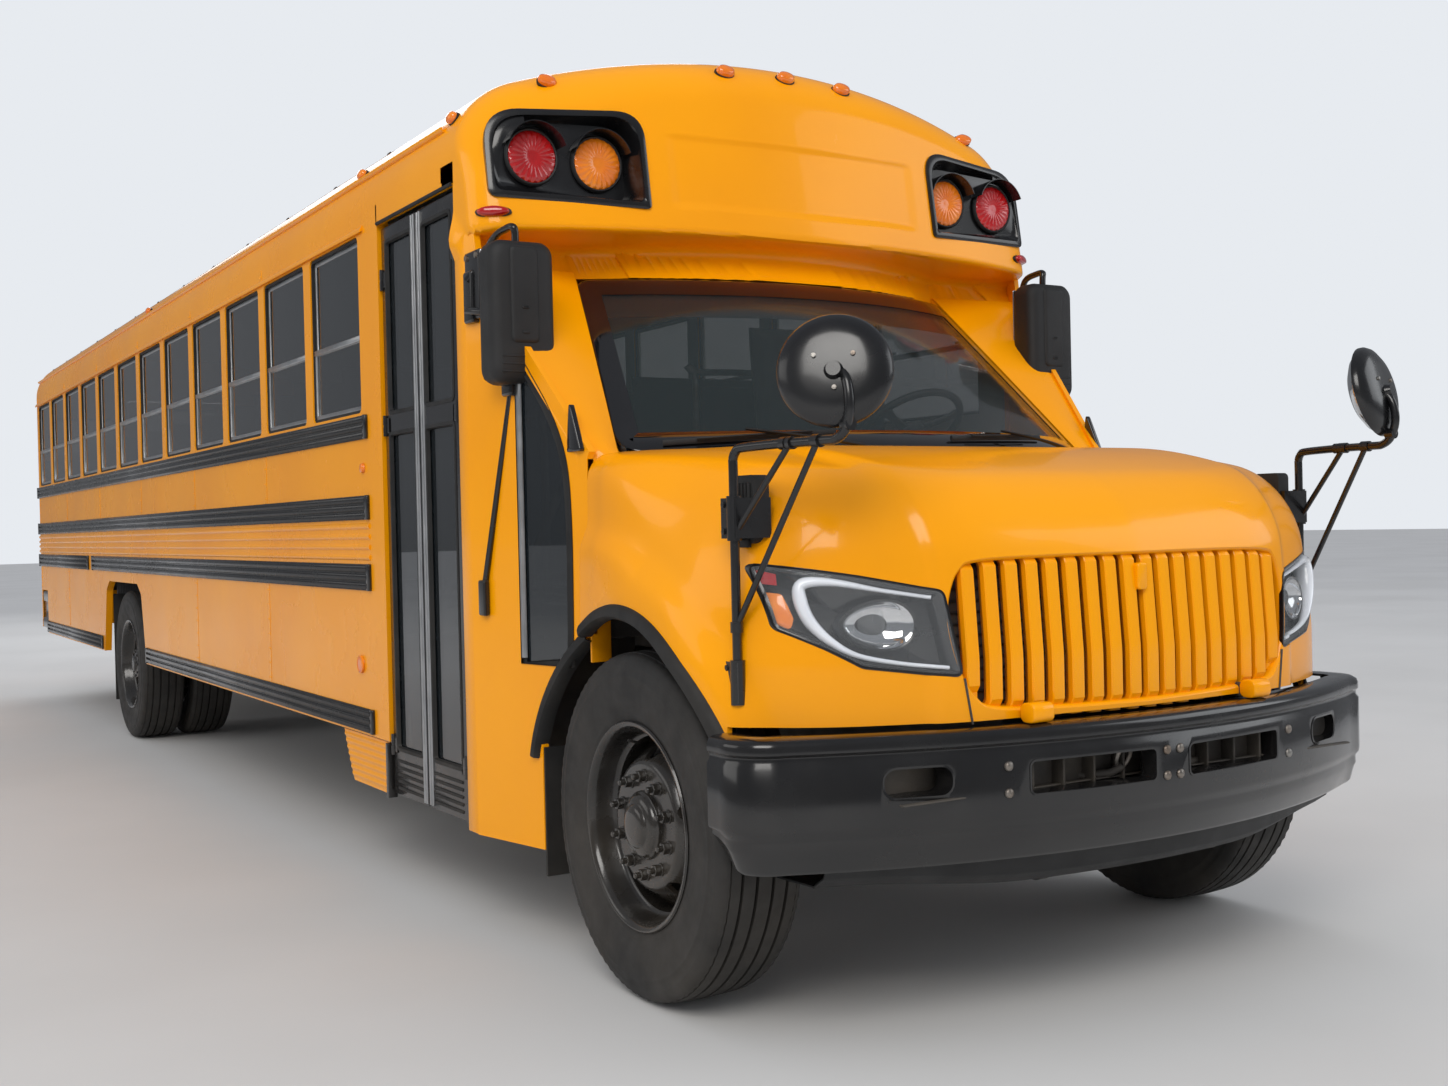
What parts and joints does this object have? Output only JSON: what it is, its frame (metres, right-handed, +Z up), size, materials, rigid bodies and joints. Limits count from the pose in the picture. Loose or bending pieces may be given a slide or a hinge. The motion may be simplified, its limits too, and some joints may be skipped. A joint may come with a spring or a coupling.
{
  "type": "school bus",
  "caption": "Full-size school bus with hood, entrance and rear doors, stop arm, steered front wheels and twin rear wheels that turn.",
  "frame": {"origin": "on the ground, midway along the length and width", "axes": "+Z up, -Y towards the front of the bus, +X towards its left (driver) side"},
  "size_m": [2.53, 12.15, 3.096],
  "materials": {
    "body_yellow": "glossy school-bus yellow enamel",
    "roof_white": "white roof enamel, slightly weathered",
    "black_trim": "gloss black enamel",
    "chassis_black": "satin black chassis paint with road dust",
    "cast_metal": "rough casting",
    "tyre_rubber": "matt black tyre rubber",
    "rubber": "matt black rubber",
    "wheel_black": "gloss black steel wheel",
    "aluminium": "mill-finish sash",
    "glass_tinted": "tinted safety glass",
    "glass_clear": "laminated windscreen",
    "seat_vinyl": "dark blue coated bench vinyl",
    "seat_fabric": "grey woven driver seat",
    "dash_plastic": "grained dark moulding",
    "floor_rubber": "ribbed floor covering",
    "lamp_amber": "amber lens",
    "lamp_red": "red lens",
    "lamp_clear": "clear lens",
    "black_plastic": "grained black moulding",
    "stop_red": "red reflective sheet, blank",
    "steel_grey": "bare steel, heat stained"
  },
  "bodies": {
    "root": {"frame_rails": "chassis_black", "front_axle": "chassis_black", "rear_axle": "chassis_black", "leaf_springs": "chassis_black", "engine_block": "cast_metal", "drive_shaft": "chassis_black", "fuel_tank": "chassis_black", "exhaust": "steel_grey", "floor": "floor_rubber", "wheel_boxes": "floor_rubber", "stepwell": "floor_rubber", "left_side_wall": "body_yellow", "right_side_wall": "body_yellow", "roof": "roof_white", "front_cap": "body_yellow", "cowl": "body_yellow", "rear_wall": "body_yellow", "windshield": "glass_clear", "window_frames": "aluminium", "window_glass": "glass_tinted", "rub_rails": "black_trim", "front_bumper": "black_trim", "rear_bumper": "black_trim", "mud_flaps": "rubber", "driver_seat": "seat_fabric", "passenger_seats": "seat_vinyl", "dashboard": "dash_plastic", "side_mirrors": "black_plastic", "warning_lamps": "black_trim", "marker_lamps": "lamp_amber", "tail_lamps": "lamp_red"},
    "hood": {"hood": "body_yellow", "grille": "body_yellow", "headlights": "lamp_clear", "crossview_mirrors": "black_trim"},
    "steer_left": {"knuckle_left": "chassis_black"},
    "steer_right": {"knuckle_right": "chassis_black"},
    "wheel_front_left": {"front_tyre_left": "tyre_rubber", "front_wheel_left": "wheel_black"},
    "wheel_front_right": {"front_tyre_right": "tyre_rubber", "front_wheel_right": "wheel_black"},
    "wheel_rear_left": {"rear_tyres_left": "tyre_rubber", "rear_wheels_left": "wheel_black"},
    "wheel_rear_right": {"rear_tyres_right": "tyre_rubber", "rear_wheels_right": "wheel_black"},
    "entry_door_front": {"door_leaf_front": "black_trim"},
    "entry_door_rear": {"door_leaf_rear": "black_trim"},
    "rear_door": {"emergency_door": "body_yellow"},
    "stop_arm": {"stop_arm": "stop_red"},
    "steering_wheel": {"steering_wheel": "black_plastic"}
  },
  "joints": [
    {"name": "hood_hinge", "type": "hinge", "parent": "root", "child": "hood", "pos_m": [0, -6, 0.855], "axis": [1, 0, 0], "range_deg": [0, 60]},
    {"name": "steer_left", "type": "hinge", "parent": "root", "child": "steer_left", "pos_m": [0.9, -5.095, 0.505], "axis": [0, 0, 1], "range_deg": [-38, 38]},
    {"name": "steer_right", "type": "hinge", "parent": "root", "child": "steer_right", "pos_m": [-0.9, -5.095, 0.505], "axis": [0, 0, 1], "range_deg": [-38, 38]},
    {"name": "steering_wheel_turn", "type": "hinge", "parent": "root", "child": "steering_wheel", "pos_m": [0.56, -4.245, 1.72], "axis": [0, 0.6157, 0.788], "range_deg": [-610, 610]},
    {"name": "spin_front_left", "type": "hinge", "parent": "steer_left", "child": "wheel_front_left", "pos_m": [1.015, -5.095, 0.505], "axis": [1, 0, 0], "continuous": true},
    {"name": "spin_front_right", "type": "hinge", "parent": "steer_right", "child": "wheel_front_right", "pos_m": [-1.015, -5.095, 0.505], "axis": [1, 0, 0], "continuous": true},
    {"name": "spin_rear_left", "type": "hinge", "parent": "root", "child": "wheel_rear_left", "pos_m": [0.9, 2.155, 0.505], "axis": [1, 0, 0], "continuous": true},
    {"name": "spin_rear_right", "type": "hinge", "parent": "root", "child": "wheel_rear_right", "pos_m": [-0.9, 2.155, 0.505], "axis": [1, 0, 0], "continuous": true},
    {"name": "entry_door_front", "type": "hinge", "parent": "root", "child": "entry_door_front", "pos_m": [-1.212, -4.006, 1.4], "axis": [0, 0, 1], "range_deg": [0, 90]},
    {"name": "entry_door_rear", "type": "hinge", "parent": "root", "child": "entry_door_rear", "pos_m": [-1.212, -3.249, 1.4], "axis": [0, 0, -1], "range_deg": [0, 90]},
    {"name": "rear_door", "type": "hinge", "parent": "root", "child": "rear_door", "pos_m": [-0.446, 6.051, 1.8], "axis": [0, 0, 1], "range_deg": [0, 110]},
    {"name": "stop_arm", "type": "hinge", "parent": "root", "child": "stop_arm", "pos_m": [1.245, -4.014, 1.46], "axis": [0, 0, -1], "range_deg": [0, 90]}
  ],
  "couplings": [
    {"joint": "steer_right", "follows": "steer_left", "ratio": 1},
    {"joint": "steering_wheel_turn", "follows": "steer_left", "ratio": 16},
    {"joint": "entry_door_rear", "follows": "entry_door_front", "ratio": 1}
  ]
}
